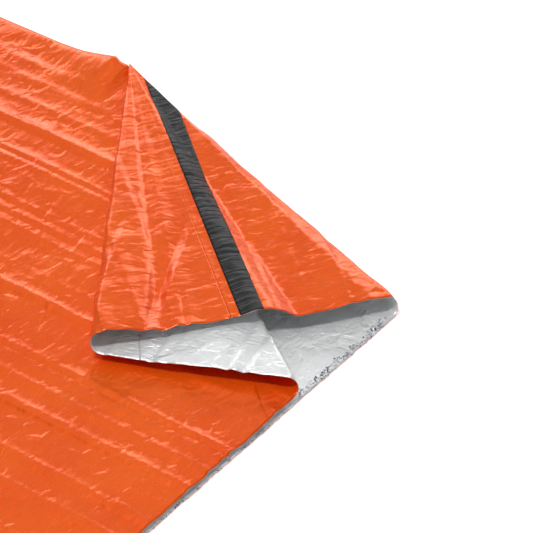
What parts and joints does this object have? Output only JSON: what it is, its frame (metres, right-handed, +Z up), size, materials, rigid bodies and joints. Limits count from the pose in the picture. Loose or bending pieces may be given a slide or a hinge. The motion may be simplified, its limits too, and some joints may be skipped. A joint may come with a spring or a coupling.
{
  "type": "bivy sack",
  "caption": "Emergency bivy sack: a flat tube of orange film, metallised inside, with a taped side seam, a closed foot and one mouth corner turned back.",
  "frame": {"origin": "on the ground, under the middle of the sack's flat outline", "axes": "+Y from the mouth to the foot, +X to the side with the taped seam and the turned corner, +Z up"},
  "size_m": [0.915, 2.13, 0.038],
  "materials": {
    "orange_film": "glossy crinkled film",
    "silver_film": "bright metallised film",
    "black_tape": "satin"
  },
  "bodies": {
    "sack": {"lower_shell": "orange_film", "lower_liner": "silver_film", "upper_shell": "orange_film", "upper_liner": "silver_film", "near_side_fold_shell": "orange_film", "near_side_fold_liner": "silver_film", "far_side_fold_shell": "orange_film", "far_side_fold_liner": "silver_film", "side_seam_lap": "silver_film", "side_seam_tape": "black_tape", "foot_shell": "orange_film", "foot_liner": "silver_film", "foot_weld": "silver_film", "foot_tape": "black_tape", "outer_fold_shell": "orange_film", "outer_fold_liner": "silver_film", "inner_fold_shell": "orange_film", "inner_fold_liner": "silver_film"},
    "outer_flap": {"outer_flap_shell": "orange_film", "outer_flap_liner": "silver_film", "flap_seam_lap": "silver_film", "flap_seam_tape": "black_tape"},
    "inner_flap": {"inner_flap_shell": "orange_film", "inner_flap_liner": "silver_film", "edge_fold_shell": "orange_film", "edge_fold_liner": "silver_film"},
    "edge_flap": {"edge_flap_shell": "orange_film", "edge_flap_liner": "silver_film"}
  },
  "joints": [
    {"name": "outer_fold", "type": "hinge", "parent": "sack", "child": "outer_flap", "pos_m": [0.3545, -0.78, 0.019], "axis": [0.3399, 0.9405, 0], "range_deg": [0, 170], "deforming": ["outer_fold_shell", "outer_fold_liner"]},
    {"name": "inner_fold", "type": "hinge", "parent": "sack", "child": "inner_flap", "pos_m": [0.2585, -0.78, 0.019], "axis": [0.5725, 0.8199, 0], "range_deg": [0, 170], "deforming": ["inner_fold_shell", "inner_fold_liner"]},
    {"name": "edge_fold", "type": "hinge", "parent": "inner_flap", "child": "edge_flap", "pos_m": [0.21635, -0.66514, 0.0315], "axis": [-0.8171, -0.5765, 0], "range_deg": [0, 170], "deforming": ["edge_fold_shell", "edge_fold_liner"]}
  ],
  "couplings": [
    {"joint": "inner_fold", "follows": "outer_fold", "ratio": 1},
    {"joint": "edge_fold", "follows": "outer_fold", "ratio": 1}
  ]
}
